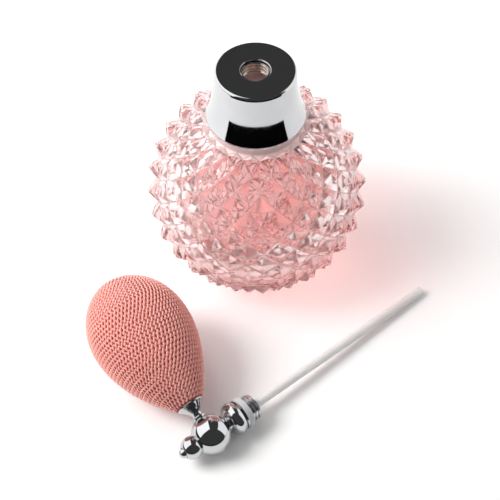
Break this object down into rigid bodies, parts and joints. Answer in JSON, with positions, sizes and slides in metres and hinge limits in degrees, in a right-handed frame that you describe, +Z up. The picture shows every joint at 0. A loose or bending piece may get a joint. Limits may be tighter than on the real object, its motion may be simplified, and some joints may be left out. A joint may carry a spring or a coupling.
{
  "type": "perfume atomiser bottle",
  "caption": "Ball-shaped cut glass perfume bottle with a threaded metal collar, and its squeeze-bulb sprayer with knitted cover and dip tube lying beside it.",
  "frame": {"origin": "centre of the bottle's base, on the table", "axes": "+Z up along the bottle's axis and out of the collar's threaded hole; -Y towards the side where the sprayer lies; +X to the right seen from that side"},
  "size_m": [0.1337, 0.1513, 0.0986],
  "materials": {
    "pink_glass": "pressed and fire-polished, pale pink",
    "chrome": "mirror plated",
    "nickel_brass": "bright nickel over brass",
    "plaster": "cast filler",
    "clear_seal": "soft, slightly milky",
    "silicone": "translucent grey",
    "tube_plastic": "extruded, semi-clear",
    "steel": "ground",
    "bulb_rubber": "moulded, matt",
    "knit": "close knitted net of glossy yarn",
    "white_plastic": "moulded"
  },
  "bodies": {
    "bottle": {"glass_bottle": "pink_glass", "collar_shell": "chrome", "collar_bush": "nickel_brass", "collar_cement": "plaster", "neck_seal": "clear_seal"},
    "sprayer": {"head_ball": "chrome", "finial": "chrome", "spray_jet": "chrome", "capillary_tube": "nickel_brass", "neck_ring": "chrome", "stem_bowl": "chrome", "thread_bushing": "chrome", "seal_washer": "silicone", "dip_tube": "tube_plastic", "lock_ring": "chrome", "bell_ferrule": "chrome", "bulb_nipple": "nickel_brass", "outlet_valve_cage": "white_plastic", "rubber_bulb": "bulb_rubber", "net_cover": "knit", "net_tie": "knit"},
    "outlet_ball": {"outlet_valve_ball": "steel"},
    "bulb_tail": {"tail_valve_plug": "white_plastic", "tail_valve_cap": "white_plastic"},
    "inlet_ball": {"tail_valve_ball": "steel"}
  },
  "joints": [
    {"name": "sprayer_lift", "type": "slide", "parent": "bottle", "child": "sprayer", "axis": [0, 0, 1], "range_m": [0, 0.12]},
    {"name": "bulb_squeeze", "type": "slide", "parent": "sprayer", "child": "bulb_tail", "axis": [0.5561, -0.7831, -0.2782], "range_m": [0, 0.012], "stiffness_N_per_m": 300, "deforming": ["rubber_bulb", "net_cover"]},
    {"name": "outlet_ball_travel", "type": "slide", "parent": "sprayer", "child": "outlet_ball", "axis": [-0.5561, 0.7831, 0.2782], "range_m": [0, 0.0012]},
    {"name": "inlet_ball_travel", "type": "slide", "parent": "bulb_tail", "child": "inlet_ball", "axis": [-0.5561, 0.7831, 0.2782], "range_m": [0, 0.0011]}
  ]
}
